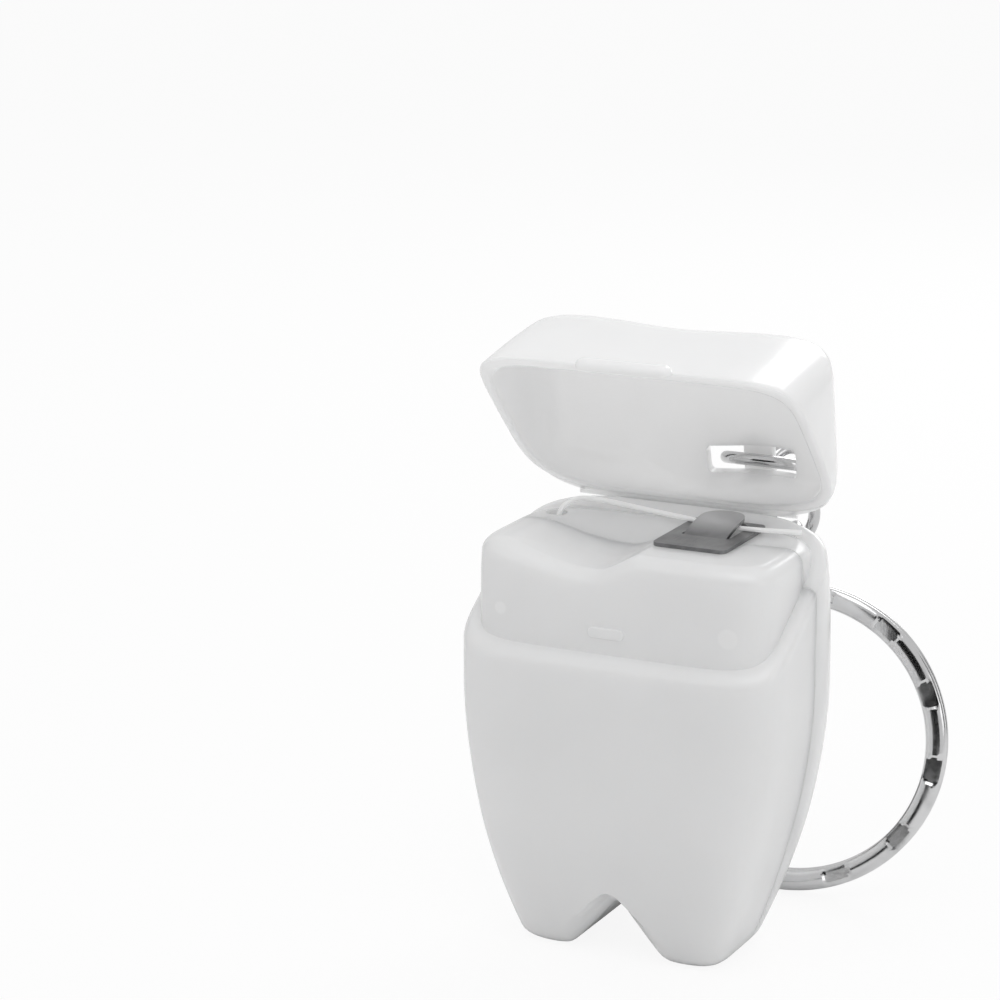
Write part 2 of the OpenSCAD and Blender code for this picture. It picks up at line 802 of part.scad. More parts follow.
module floss_strand() {
    sides = 8;
    path = concat(
        [for (i = [0 : len(strand_route) - 2]) for (k = [0 : strand_steps - 1]) between(i, k / strand_steps)],
        [strand_route[len(strand_route) - 1]]);
    n = len(path);
    dirs = [for (k = [0 : n - 1]) unit(path[min(k + 1, n - 1)] - path[max(k - 1, 0)])];
    points = [for (k = [0 : n - 1])
        let (u = across([0, 1, 0.3], dirs[k]), v = cross(dirs[k], u))
        for (j = [0 : sides - 1])
            path[k] + strand_d / 2 * (cos(360 * j / sides) * u + sin(360 * j / sides) * v)];
    function at(k, j) = k * sides + j % sides;
    faces = concat(
        [[for (j = [sides - 1 : -1 : 0]) at(0, j)]],
        [for (k = [0 : n - 2]) for (j = [0 : sides - 1]) each
            [[at(k, j), at(k, j + 1), at(k + 1, j + 1)], [at(k, j), at(k + 1, j + 1), at(k + 1, j)]]],
        [[for (j = [0 : sides - 1]) at(n - 1, j)]]);
    color([0.99, 0.99, 0.98])
        polyhedron(points, faces);
}

front_shell();
rear_cover();
lid();
hinge_web();
cutter();
floss_spool();
floss_winding();
floss_strand();
jump_ring();
connector_link_upper();
connector_link_lower();
split_ring();
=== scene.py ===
import json
import math

import bmesh
import bpy
from mathutils import Matrix, Vector


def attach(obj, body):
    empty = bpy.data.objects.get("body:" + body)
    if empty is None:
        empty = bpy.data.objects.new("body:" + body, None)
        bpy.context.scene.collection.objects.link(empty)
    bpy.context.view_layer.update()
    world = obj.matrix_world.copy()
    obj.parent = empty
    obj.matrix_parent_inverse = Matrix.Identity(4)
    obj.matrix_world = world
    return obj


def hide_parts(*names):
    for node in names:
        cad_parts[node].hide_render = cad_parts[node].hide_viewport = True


bl_info = {
    "name": "Tooth Floss Dispenser",
    "version": (1, 0, 0),
    "blender": (4, 5, 0),
    "location": "View3D > Sidebar > Floss",
    "description": "Builds a tooth-shaped floss dispenser with its lid open, its key chain and a studio",
    "category": "Add Mesh",
}

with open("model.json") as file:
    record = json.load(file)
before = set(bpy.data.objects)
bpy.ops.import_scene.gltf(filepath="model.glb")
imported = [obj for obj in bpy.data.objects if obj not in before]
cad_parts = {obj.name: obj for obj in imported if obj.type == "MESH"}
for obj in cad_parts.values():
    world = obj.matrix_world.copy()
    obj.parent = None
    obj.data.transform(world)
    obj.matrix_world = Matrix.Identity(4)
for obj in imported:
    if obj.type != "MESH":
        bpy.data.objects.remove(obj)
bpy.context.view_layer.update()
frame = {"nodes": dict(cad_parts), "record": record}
MM = 0.001
JOINTS = {joint["name"]: joint for joint in frame["record"]["behaviour"]["joints"]}
HINGE = Vector(JOINTS["lid_hinge"]["pos_m"])


def size(name, millimetres, text):
    """A length that the panel shows, given in millimetres."""
    return bpy.props.FloatProperty(
        name=name, description=text, default=millimetres * MM, precision=5, unit="LENGTH")


def share(name, value, text):
    """A plain number that the panel shows."""
    return bpy.props.FloatProperty(name=name, description=text, default=value)


def colour(name, value, text):
    return bpy.props.FloatVectorProperty(
        name=name, description=text, default=value, size=3, min=0.0, max=1.0, subtype="COLOR")


class ToothSizes(bpy.types.PropertyGroup):
    """The moulded case: body, neck and lid."""

    body_w: size("Width", 31.8, "Width of the tooth at its widest")
    body_d: size("Depth", 20, "Depth of the tooth at its widest")
    body_h: size("Height", 43.4, "Height with the lid closed")
    hinge_z: size("Hinge height", HINGE.z / MM, "Height of the lid hinge")
    back_bulge: size("Back bulge", 0.2, "How far the back stands out beyond half the depth")
    root_w: size("Root width", 20, "Width over the outer edges of the two roots")
    swell_z: size("Swell height", 25, "Height at which the sides reach their full width")
    front_tuck: size("Front tuck", 2.5, "How far the front draws in at the root tips")
    back_tuck: size("Back tuck", 4.4, "How far the back draws in at the root tips")
    tuck_h: size("Tuck height", 14, "Height over which front and back draw in")
    back_draw: size("Back draw", 3.2, "How far the back draws in at the crown")
    front_draw: size("Front draw", 0.2, "How far the front draws in at the crown")
    draw_z: size("Draw height", 26, "Height above which front and back draw in")
    narrow_z: size("Narrowing height", 33, "Height above which the sides draw in")
    crown_narrow: size("Crown narrowing", 0.9, "How far each side draws in at the crown")
    front_square: share("Front squareness", 7.2, "Squareness of the front corners")
    back_square: share("Back squareness", 3.8, "Squareness of the back corners")
    foot_r: size("Foot radius", 1.2, "Radius under the root tips")
    notch_h: size("Notch height", 5.1, "Height of the notch between the roots")
    notch_w: size("Notch width", 9.6, "Width of the notch at the root tips")
    notch_r: size("Notch radius", 0.9, "Radius at the top of the notch")
    parting_y: size("Parting line", 0.7, "Plane between front shell and rear cover")
    parting_gap: size("Parting gap", 0.04, "Gap between front shell and rear cover")
    parting_edge: size("Parting edge", 0.07, "Width of the soft edge along the parting line")
    seam_front_z: size("Lid edge", 28.5, "Height of the lid's edge at the front")
    seam_gap: size("Lid gap", 0.12, "Gap between lid and body along their edge")
    rim_r: size("Lid rim radius", 0.3, "Radius of the lid's rim")
    lid_wall: size("Lid wall", 1.0, "Wall of the lid")
    neck_gap: size("Neck gap", 0.3, "Gap between neck and lid")
    valley_front: size("Front valley", 2.7, "Depth of the crown's valley at the front")
    valley_back: size("Back valley", 1.2, "Depth of the crown's valley at the back")
    valley_x: size("Valley place", 0.3, "Place of the valley across the crown")
    cusp_gap: size("Cusp distance", 17, "Distance between the two cusps")
    left_drop: size("Left fall", 2.6, "Fall of the crown towards its left side")
    right_drop: size("Right fall", 4.4, "Fall of the crown towards its right side")
    crown_r: size("Crown radius", 2.2, "Edge radius of the crown at front and back")
    crown_side_r: size("Crown side radius", 4.6, "Edge radius of the crown at the sides")
    deck_z: size("Deck height", 38.6, "Height of the deck")
    neck_back_gap: size("Neck back gap", 1.5, "Distance from the neck's back to the lid hinge")
    shoulder_r: size("Shoulder radius", 0.8, "Edge radius of the shoulder under the lid")
    neck_r: size("Neck radius", 1.5, "Edge radius of the neck")
    scoop_depth: size("Scoop depth", 1.8, "Depth of the finger scoop")
    scoop_x: size("Scoop place", -2.6, "Deepest point of the finger scoop")
    scoop_left: size("Scoop left", 8.7, "Reach of the finger scoop to the left")
    scoop_right: size("Scoop right", 4.4, "Reach of the finger scoop to the right")
    scoop_flat_y: size("Scoop flat", -2, "Where the finger scoop starts to fade out, front to back")
    scoop_fade: size("Scoop fade", 8, "Length over which the finger scoop fades out")
    hole_r: size("Floss hole", 1.0, "Radius of the floss hole")
    hole_x: size("Floss hole place", -11.4, "Place of the floss hole across the deck")
    hole_y: size("Floss hole depth", 3.4, "Place of the floss hole, front to back")
    snap_x: size("Snap bump place", -0.7, "Middle of the snap bump across the neck")
    snap_z: size("Snap bump height", 31.3, "Height of the snap bump's middle")
    snap_w: size("Snap bump width", 3.6, "Width of the snap bump")
    snap_h: size("Snap bump rise", 1.1, "Height of the snap bump from edge to edge")
    snap_out: size("Snap bump depth", 0.2, "How far the snap bump stands out")
    bridge_w: size("Bridge width", 3.0, "Width of the bridge that the jump ring goes through")
    eye_w: size("Eye width", 2.8, "Width of each hole beside the bridge")
    eye_len: size("Eye length", 2.8, "Length of the holes, front to back")
    bridge_x: size("Bridge place", 6.1, "Middle of the bridge across the crown")
    bridge_back_gap: size("Bridge back gap", 4.2, "Distance from the bridge's middle to the lid hinge")
    bridge_t: size("Bridge thickness", 1.0, "Thickness of the bridge")
    tab_w: size("Tab width", 9.2, "Width of the thumb tab")
    tab_h: size("Tab height", 1.7, "Height of the thumb tab")
    tab_hang: size("Tab hang", 1.1, "How far the thumb tab hangs below the lid's edge")
    tab_out: size("Tab depth", 0.8, "How far the thumb tab stands out")
    tab_gap: size("Tab gap", 0.12, "Gap between the hanging thumb tab and the body")


class MetalSizes(bpy.types.PropertyGroup):
    """The cutter, the chain and the key ring."""

    cutter_w: size("Cutter width", 7.2, "Width of the cutter plate")
    cutter_len: size("Cutter length", 10.2, "Length of the cutter plate")
    cutter_x: size("Cutter place", 1.5, "Left edge of the cutter plate")
    cutter_t: size("Cutter thickness", 0.35, "Thickness of the cutter sheet")
    cutter_r: size("Cutter corner", 0.7, "Corner radius of the cutter plate")
    window_y: size("Window place", 4.0, "Distance from the plate's front edge to its window")
    window_gap: size("Window gap", 0.25, "Gap between the tongue and its window")
    tongue_w: size("Tongue width", 4.2, "Width of the bent-up tongue")
    tongue_len: size("Tongue length", 6.0, "Length of the bent-up tongue")
    tongue_rise: size("Tongue rise", 1.0, "Height of the tongue's tip")
    tongue_curl: share("Tongue curl", 2.3, "How soon the tongue bends up")
    wire_d: size("Wire", 1.15, "Thickness of the ring and link wire")
    jump_od: size("Jump ring", 9.3, "Outside diameter of the jump ring")
    upper_len: size("Upper link", 11.2, "Outside length of the upper link")
    lower_len: size("Lower link", 9.9, "Outside length of the lower link")
    link_w: size("Link width", 6.2, "Outside width of both links")
    joint_gap: size("Link joint", 0.15, "Gap where each link's wire ends meet")
    split_od: size("Split ring", 30, "Outside diameter of the split ring")
    split_w: size("Ring wire width", 2.0, "Radial width of the split ring's wire")
    split_t: size("Ring wire thickness", 1.1, "Thickness of one coil of the split ring")
    coil_gap: size("Coil gap", 0.06, "Gap between the two coils of the split ring")
    flat_z: size("Flat height", 0.36, "Height of the stamped flats over the middle of their coil")
    ring_play: size("Ring play", 0.62, "Play between the split ring and the wire it hangs on")
    strand_d: size("Floss width", 0.45, "Width of the floss strand")


class Finishes(bpy.types.PropertyGroup):
    """Colours of the plastics, the floss and the metals."""

    shell: colour("Body", (0.94, 0.942, 0.945), "White plastic of the body")
    lid: colour("Lid", (0.96, 0.961, 0.963), "White plastic of the lid")
    spool: colour("Spool", (0.84, 0.85, 0.86), "White plastic of the spool")
    floss: colour("Floss", (0.97, 0.97, 0.965), "Waxed floss")
    steel: colour("Cutter", (0.27, 0.27, 0.275), "Stamped steel of the cutter")
    nickel: colour("Wire", (0.64, 0.64, 0.645), "Nickel plating of the wire")
    ring: colour("Ring", (0.74, 0.74, 0.745), "Nickel plating of the split ring")


# Shader expressions


class Value:
    """One output socket, which takes part in Python expressions."""

    def __init__(self, tree, socket):
        self.tree = tree
        self.socket = socket

    def _math(self, operation, first, second):
        return self.tree.add("ShaderNodeMath", {"operation": operation}, {0: first, 1: second})[0]

    def __add__(self, other):
        return self._math("ADD", self, other)

    def __radd__(self, other):
        return self._math("ADD", other, self)

    def __sub__(self, other):
        return self._math("SUBTRACT", self, other)

    def __rsub__(self, other):
        return self._math("SUBTRACT", other, self)

    def __mul__(self, other):
        return self._math("MULTIPLY", self, other)

    def __rmul__(self, other):
        return self._math("MULTIPLY", other, self)

    def __truediv__(self, other):
        return self._math("DIVIDE", self, other)

    def power(self, other):
        return self._math("POWER", self, other)

    def between(self, low, high):
        """0 below low, 1 above high and smooth between them."""
        settings = {"interpolation_type": "SMOOTHSTEP"}
        inputs = {"Value": self, "From Min": low, "From Max": high}
        return self.tree.add("ShaderNodeMapRange", settings, inputs)["Result"]


class Outputs:
    """The outputs of one node, by name or number."""

    def __init__(self, tree, node):
        self.tree = tree
        self.node = node

    def __getitem__(self, key):
        return Value(self.tree, self.node.outputs[key])


class Finish:
    """A material, or the world, whose nodes are written as expressions."""

    def __init__(self, name, owners=bpy.data.materials):
        self.owner = owners.new(name)
        self.owner.use_nodes = True
        self.nodes = self.owner.node_tree.nodes
        self.links = self.owner.node_tree.links
        self.nodes.clear()

    def add(self, kind, settings=None, inputs=None):
        node = self.nodes.new(kind)
        for key, value in (settings or {}).items():
            setattr(node, key, value)
        for key, value in (inputs or {}).items():
            self.feed(node.inputs[key], value)
        return Outputs(self, node)

    def feed(self, socket, value):
        if isinstance(value, Value):
            self.links.new(value.socket, socket)
        else:
            socket.default_value = value

    def place(self):
        return self.add("ShaderNodeTexCoord")["Object"]

    def noise(self, scale, detail=2.0, at=None):
        return self.add("ShaderNodeTexNoise", {}, {
            "Vector": at or self.place(), "Scale": scale, "Detail": detail})["Fac"]

    def stretched(self, amounts):
        return self.add("ShaderNodeMapping", {}, {"Vector": self.place(), "Scale": amounts})["Vector"]

    def mix(self, factor, first, second):
        first, second = (c if isinstance(c, Value) else (*c, 1.0) for c in (first, second))
        return self.add("ShaderNodeMix", {"data_type": "RGBA"}, {
            "Factor": factor, 6: first, 7: second})[2]

    def parted(self, factor, first, second, output="ShaderNodeOutputMaterial"):
        """Shows the first shader where the factor is 0 and the second where it is 1."""
        mixed = self.add("ShaderNodeMixShader", {}, {0: factor, 1: first[0], 2: second[0]})[0]
        self.add(output, {}, {"Surface": mixed})

    def bump(self, height, strength, distance):
        return self.add("ShaderNodeBump", {}, {
            "Height": height, "Strength": strength, "Distance": distance})["Normal"]

    def surface(self, **sockets):
        names = {key.replace("_", " "): value for key, value in sockets.items()}
        shader = self.add("ShaderNodeBsdfPrincipled", {}, names)
        self.add("ShaderNodeOutputMaterial", {}, {"Surface": shader["BSDF"]})
        return self.owner


def darker(tone, amount):
    return tuple(channel * amount for channel in tone)


def moulded(name, tone, roughness, marks=(), depth=0.003, painted_glow=0.0):
    """Glossy white moulding with ejector marks, each dimpled and painted lighter as a painted highlight; a
    painted glow can brighten the part, though it is no lamp.
    """
    f = Finish(name)
    grain = f.noise(2600.0, 3.0)
    flow = f.noise(90.0, 2.0)
    height = grain * 0.25 + flow * 0.6
    parts = f.add("ShaderNodeSeparateXYZ", {}, {"Vector": f.place()})
    shade = flow.between(0.3, 0.75) * 0.25 + 0.35
    for x, z, radius in marks:
        across = parts["X"] - x
        along = parts["Z"] - z
        away = (across * across + along * along).power(0.5)
        in_front = 1.0 - parts["Y"].between(-6.5 * MM, -6 * MM)
        # Each mark is a real dimple in the bump and a painted highlight: its colour stays at the full tone,
        # lighter than the moulding around it, which random flow lines and a constant share darken.
        dimple_and_highlight = (1.0 - away.between(radius * 0.8, radius * 1.2)) * in_front
        height = height - dimple_and_highlight * 1.5
        shade = shade * (1.0 - dimple_and_highlight)
    return f.surface(
        Base_Color=f.mix(shade, tone, darker(tone, 0.9)),
        Roughness=grain * 0.05 + roughness,
        Subsurface_Weight=0.7,
        Subsurface_Radius=(1.0, 0.98, 0.96),
        Subsurface_Scale=depth,
        # Painted glow: a constant emission in the plastic's own tone, which brightens the part as if it were
        # lit.
        Emission_Color=(*tone, 1.0),
        Emission_Strength=painted_glow,
        IOR=1.49,
        Specular_IOR_Level=0.5,
        Normal=f.bump(height, 0.18, 0.00004))


def plated(name, tone, roughness):
    """Nickel plating with drawing lines, dull spots and worn places."""
    f = Finish(name)
    lines = f.noise(6.0, 4.0, f.stretched((500.0, 500.0, 60.0)))
    spots = f.noise(1500.0, 3.0)
    worn = f.noise(260.0, 3.0).between(0.45, 0.75)
    dull = worn * 0.16 + spots * 0.08
    return f.surface(
        Base_Color=f.mix(worn * 0.6 + spots * 0.2, tone, darker(tone, 0.72)),
        Metallic=1.0,
        Roughness=dull + roughness,
        Normal=f.bump(lines * 0.5 + spots * 0.5, 0.25, 0.00003))


def stamped(name, tone, sheen_from):
    """Rolled steel sheet with fine lines and a grey film, painted light grey above a height as a painted
    reflection on the bent-up tongue.
    """
    f = Finish(name)
    height = f.add("ShaderNodeSeparateXYZ", {}, {"Vector": f.place()})["Z"]
    painted_sheen = height.between(sheen_from, sheen_from + 0.8 * MM)
    lines = f.noise(5.0, 5.0, f.stretched((2600.0, 90.0, 400.0)))
    film = f.noise(420.0, 3.0).between(0.35, 0.7)
    return f.surface(
        # Painted reflection: above the height, where the tongue rises, the colour turns light grey.
        Base_Color=f.mix(painted_sheen, f.mix(film, tone, darker(tone, 0.7)), (0.5, 0.5, 0.505)),
        Metallic=1.0,
        Roughness=lines * 0.2 + 0.24,
        Normal=f.bump(lines, 0.3, 0.00003))


def waxed(name, tone):
    """Waxed filaments, which run along the strand."""
    f = Finish(name)
    threads = f.noise(8.0, 3.0, f.stretched((120.0, 1600.0, 1600.0)))
    return f.surface(
        Base_Color=f.mix(threads.between(0.3, 0.7) * 0.5, tone, darker(tone, 0.94)),
        Roughness=threads * 0.25 + 0.35,
        Sheen_Weight=0.15,
        Subsurface_Weight=0.2,
        Subsurface_Radius=(1.0, 1.0, 1.0),
        Subsurface_Scale=0.0003,
        # Painted glow: a faint constant emission that brightens the floss, though it is no lamp.
        Emission_Color=(1.0, 1.0, 1.0, 1.0),
        Emission_Strength=0.15,
        Normal=f.bump(threads, 0.4, 0.00005))


# Shape of the tooth

# Where the rows that close body, neck and lid meet, front to back
LOFT_Y = -1 * MM
# Marks of the ejector pins on the neck, dimpled and painted lighter as a painted highlight: place across,
# height and radius in millimetres
MARKS = ((-11.4, 32.3, 0.6), (11.1, 32.3, 0.9))


def bell(v):
    return (1 + math.cos(math.pi * v)) / 2 if abs(v) < 1 else 0.0


class Tooth:
    """The tooth's outline and surfaces, worked out from the panel's sizes."""

    def __init__(self, s):
        self.s = s
        self.slope = (s.hinge_z - s.seam_front_z) / (HINGE.y + s.body_d / 2)
        self.neck_back = HINGE.y - s.neck_back_gap
        self.bridge_y = HINGE.y - s.bridge_back_gap

    def tuck(self, z):
        return max(0.0, 1 - max(z, 0.0) / self.s.tuck_h) ** 2

    def draw(self, z):
        return (max(0.0, z - self.s.draw_z) / (self.s.body_h - self.s.draw_z)) ** 2

    def front(self, z):
        s = self.s
        return -s.body_d / 2 + s.front_tuck * self.tuck(z) + s.front_draw * self.draw(z)

    def back(self, z):
        s = self.s
        return s.body_d / 2 + s.back_bulge - s.back_tuck * self.tuck(z) - s.back_draw * self.draw(z)

    def half_w(self, z):
        s = self.s
        if z < s.swell_z:
            rise = 1 - (1 - max(z, 0.0) / s.swell_z) ** 1.75
            return s.root_w / 2 + (s.body_w - s.root_w) / 2 * rise
        narrowing = max(0.0, z - s.narrow_z) / (s.body_h - s.narrow_z)
        return s.body_w / 2 - s.crown_narrow * narrowing ** 2

    def section(self, turn, z, inset):
        """The point of the cross-section at height z in the direction turn, moved inwards by inset."""
        c, s = math.cos(turn), math.sin(turn)
        n = self.s.front_square if s < 0 else self.s.back_square
        a = self.half_w(z) - inset
        b = (self.back(z) - self.front(z)) / 2 - inset
        r = (abs(c / a) ** n + abs(s / b) ** n) ** (-1 / n)
        return r * c, (self.front(z) + self.back(z)) / 2 + r * s

    def seam(self, y):
        return self.s.hinge_z - (HINGE.y - y) * self.slope

    def beside_seam(self, turn, inset, lift):
        """The point of the cross-section that lies a lift above the plane of the lid's edge."""
        z = self.s.seam_front_z
        for _ in range(4):
            x, y = self.section(turn, z, inset)
            z = self.seam(y) + lift
        return x, y, z

    def crown(self, x, y):
        s = self.s
        share_back = min(1.0, max(0.0, (y + s.body_d / 2) / s.body_d))
        valley = s.valley_front + (s.valley_back - s.valley_front) * share_back
        drop = s.left_drop if x < 0 else s.right_drop
        return (s.body_h - valley * bell((x - s.valley_x) / (s.cusp_gap / 2))
                - drop * (abs(x) / (s.body_w / 2)) ** 4)

    def deck(self, x, y):
        s = self.s
        reach = s.scoop_left if x < s.scoop_x else s.scoop_right
        fade = 1.0 if y < s.scoop_flat_y else bell((y - s.scoop_flat_y) / s.scoop_fade)
        off = (x - s.scoop_x) / reach
        return s.deck_z - s.scoop_depth * fade * max(0.0, 1 - off * off) ** 1.5

    def notch(self, x):
        """Height of the underside: the rounded notch in the middle, level root tips beside it."""
        s = self.s
        r = s.notch_r
        mid = s.notch_h - r
        slope = math.atan2(2 * mid, s.notch_w) + math.asin(r / math.hypot(s.notch_w / 2, mid))
        if abs(x) < r * math.sin(slope):
            return mid + math.sqrt(r * r - x * x)
        line = (s.notch_w / 2 - abs(x)) * math.tan(slope)
        soft, sunk = 0.7 * MM, 0.02 * MM
        return max(0.0, (line + math.sqrt(line * line + soft * soft)) / 2 - sunk)

    def corner_r(self, turn, inset):
        s = self.s
        r = s.crown_r + (s.crown_side_r - s.crown_r) * math.cos(turn) ** 2
        return max(0.6 * MM, r - inset)


def steps(count, first=0.0, last=1.0):
    return [first + (last - first) * k / count for k in range(count + 1)]


def lofted(rows, around=240):
    """A closed skin through rows of points, where a row is a function of the turn."""
    bm = bmesh.new()
    bmesh.ops.create_grid(bm, x_segments=around, y_segments=len(rows) - 1, size=1.0)
    for v in bm.verts:
        column = round((v.co.x + 1) / 2 * around)
        row = round((v.co.y + 1) / 2 * (len(rows) - 1))
        turn = 2 * math.pi * ((column % around) + 0.5) / around
        v.co = rows[row](turn)
    bmesh.ops.remove_doubles(bm, verts=bm.verts, dist=1e-7)
    bmesh.ops.dissolve_degenerate(bm, dist=1e-8, edges=bm.edges)
    bmesh.ops.recalc_face_normals(bm, faces=bm.faces)
    return bm


def body_rows(t, ledge):
    """From the middle of the underside up the wall, over the shoulder and in along the ledge."""
    s = t.s
    edge = s.shoulder_r
    cap_drop = 0.6 * MM

    def under(f):
        def at(turn):
            x, y = t.section(turn, 0.0, s.foot_r)
            mid = (t.front(0.0) + t.back(0.0)) / 2
            x, y = x * f, mid + (y - mid) * f
            return Vector((x, y, t.notch(x)))
        return at

    def foot(a):
        def at(turn):
            rise = s.foot_r * (1 - math.cos(a))
            x, y = t.section(turn, rise, s.foot_r * (1 - math.sin(a)))
            return Vector((x, y, t.notch(x) + rise))
        return at

    def wall(f):
        def at(turn):
            x, y = t.section(turn, s.foot_r, 0.0)
            low = t.notch(x) + s.foot_r
            high = t.beside_seam(turn, 0.0, -edge)[2]
            z = low + (high - low) * f
            x, y = t.section(turn, z, 0.0)
            return Vector((x, y, z))
        return at

    def top(inset, drop):
        def at(turn):
            x, y, high = t.beside_seam(turn, inset, -drop)
            if inset > 0.99 * ledge:
                y = min(y, t.neck_back - 0.2 * MM)
                high = t.seam(y) - drop
            return Vector((x, y, high))
        return at

    def lid_cap(f):
        def at(turn):
            p = top(ledge, cap_drop)(turn)
            y = LOFT_Y + (p.y - LOFT_Y) * f
            return Vector((p.x * f, y, t.seam(y) - cap_drop))
        return at

    rows = [under(f) for f in steps(26)]
    rows += [foot(a) for a in steps(6, 0.0, math.pi / 2)[1:]]
    rows += [wall(f) for f in steps(52)[1:]]
    rows += [top(edge * (1 - math.cos(a)), edge * (1 - math.sin(a))) for a in steps(4, 0.0, math.pi / 2)[1:]]
    rows += [top(inset, 0.0) for inset in steps(3, edge, ledge)[1:]]
    rows += [lid_cap(f) for f in steps(4, 1.0, 0.0)]
    return rows


def neck_rows(t):
    """From inside the body up the neck, over its edge and across the deck to its middle."""
    s = t.s
    inset = s.lid_wall + s.neck_gap
    low = s.seam_front_z - 2.5 * MM

    def kept(x, y, z):
        return Vector((x, min(y, t.neck_back), z))

    def edge(turn, a):
        inner = kept(*t.section(turn, s.deck_z, inset + s.neck_r), 0.0)
        start = t.deck(inner.x, inner.y) - s.neck_r
        p = kept(*t.section(turn, start, inset + s.neck_r * (1 - math.cos(a))), 0.0)
        p.z = min(t.deck(p.x, p.y), start + s.neck_r * math.sin(a))
        return p

    def base(f):
        def at(turn):
            p = kept(*t.section(turn, low, inset), low)
            return Vector((p.x * f, LOFT_Y + (p.y - LOFT_Y) * f, low))
        return at

    def wall(f):
        def at(turn):
            z = low + (edge(turn, 0.0).z - low) * f
            return kept(*t.section(turn, z, inset), z)
        return at

    def top(f):
        def at(turn):
            p = edge(turn, math.pi / 2)
            x, y = p.x * f, LOFT_Y + (p.y - LOFT_Y) * f
            return Vector((x, y, t.deck(x, y) + (p.z - t.deck(p.x, p.y)) * f ** 6))
        return at

    rows = [base(f) for f in steps(3)]
    rows += [wall(f) for f in steps(30)[1:]]
    rows += [lambda turn, a=a: edge(turn, a) for a in steps(9, 0.0, math.pi / 2)[1:]]
    rows += [top(f) for f in steps(40, 1.0, 0.0)[1:]]
    return rows


def lid_rows(t):
    """From the top of the crown down the outside, round the rim and back up the inside."""
    s = t.s
    rim = s.rim_r

    def skin(inset):
        def edge(turn, a):
            r = t.corner_r(turn, inset)
            x, y = t.section(turn, s.deck_z, inset + r)
            start = t.crown(x, y) - inset - r
            x, y = t.section(turn, start, inset + r * (1 - math.cos(a)))
            return Vector((x, y, min(t.crown(x, y) - inset, start + r * math.sin(a))))

        def top(f):
            def at(turn):
                p = edge(turn, math.pi / 2)
                x, y = p.x * f, LOFT_Y + (p.y - LOFT_Y) * f
                off = p.z - (t.crown(p.x, p.y) - inset)
                return Vector((x, y, t.crown(x, y) - inset + off * f ** 6))
            return at

        def side(f):
            def at(turn):
                high = edge(turn, 0.0).z
                low = t.beside_seam(turn, inset, s.seam_gap + rim)[2]
                z = low + (high - low) * f
                return Vector((*t.section(turn, z, inset), z))
            return at
        return edge, top, side

    def under(inset, lift):
        return lambda turn: Vector(t.beside_seam(turn, inset, s.seam_gap + lift))

    edge, top, side = skin(0.0)
    inner_edge, inner_top, inner_side = skin(s.lid_wall)
    rows = [top(f) for f in steps(40)]
    rows += [lambda turn, a=a: edge(turn, a) for a in steps(10, math.pi / 2, 0.0)[1:]]
    rows += [side(f) for f in steps(24, 1.0, 0.0)[1:]]
    rows += [under(rim * (1 - math.cos(a)), rim * (1 - math.sin(a))) for a in steps(3, 0.0, math.pi / 2)[1:]]
    rows += [under(s.lid_wall - rim * (1 - math.cos(a)), rim * (1 - math.sin(a)))
             for a in steps(3, math.pi / 2, 0.0)]
    rows += [inner_side(f) for f in steps(24)[1:]]
    rows += [lambda turn, a=a: inner_edge(turn, a) for a in steps(8, 0.0, math.pi / 2)[1:]]
    rows += [inner_top(f) for f in steps(30, 1.0, 0.0)[1:]]
    return rows


# Making objects


def linked(bm, name, material=None):
    """Turns the bmesh into an object of the scene."""
    mesh = bpy.data.meshes.new(name)
    bm.to_mesh(mesh)
    bm.free()
    if material:
        mesh.materials.append(material)
    obj = bpy.data.objects.new(name, mesh)
    bpy.context.scene.collection.objects.link(obj)
    return obj


def shown(bm, name, material, body, stands_for, flat_over=40):
    """Turns the bmesh into a finished piece that rides on a body."""
    for edge in bm.edges:
        turned = edge.calc_face_angle(0.0) if len(edge.link_faces) == 2 else 0.0
        edge.smooth = turned < math.radians(flat_over)
    for face in bm.faces:
        face.smooth = True
    obj = linked(bm, name, material)
    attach(obj, body)
    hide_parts(stands_for)
    return obj


def combined(bm, other, operation):
    """The union or the difference of two closed solids."""
    objects = [linked(piece, "part") for piece in (bm, other)]
    boolean = objects[0].modifiers.new("combined", "BOOLEAN")
    boolean.operation = operation
    boolean.solver = "EXACT"
    boolean.object = objects[1]
    bpy.context.view_layer.update()
    done = objects[0].evaluated_get(bpy.context.evaluated_depsgraph_get())
    out = bmesh.new()
    out.from_mesh(done.to_mesh())
    for obj in objects:
        mesh = obj.data
        bpy.data.objects.remove(obj)
        bpy.data.meshes.remove(mesh)
    if not out.faces:
        raise RuntimeError(f"the {operation.lower()} left nothing")
    return out


def joined(bm, other):
    return combined(bm, other, "UNION")


def cut_away(bm, cutter):
    return combined(bm, cutter, "DIFFERENCE")


def rounded(bm, edges, r, segments):
    bmesh.ops.bevel(bm, geom=edges, offset=r, segments=segments, profile=0.5,
                    affect="EDGES", material=-1)


def spun(bm, degrees, axis):
    turn = Matrix.Rotation(math.radians(degrees), 3, axis)
    bmesh.ops.rotate(bm, verts=bm.verts, cent=(0, 0, 0), matrix=turn)


def drill(middle, r, depth):
    """An upright cylinder that cuts a round hole."""
    bm = bmesh.new()
    bmesh.ops.create_cone(bm, cap_ends=True, segments=48, radius1=r, radius2=r, depth=depth,
                          matrix=Matrix.Translation(middle))
    return bm


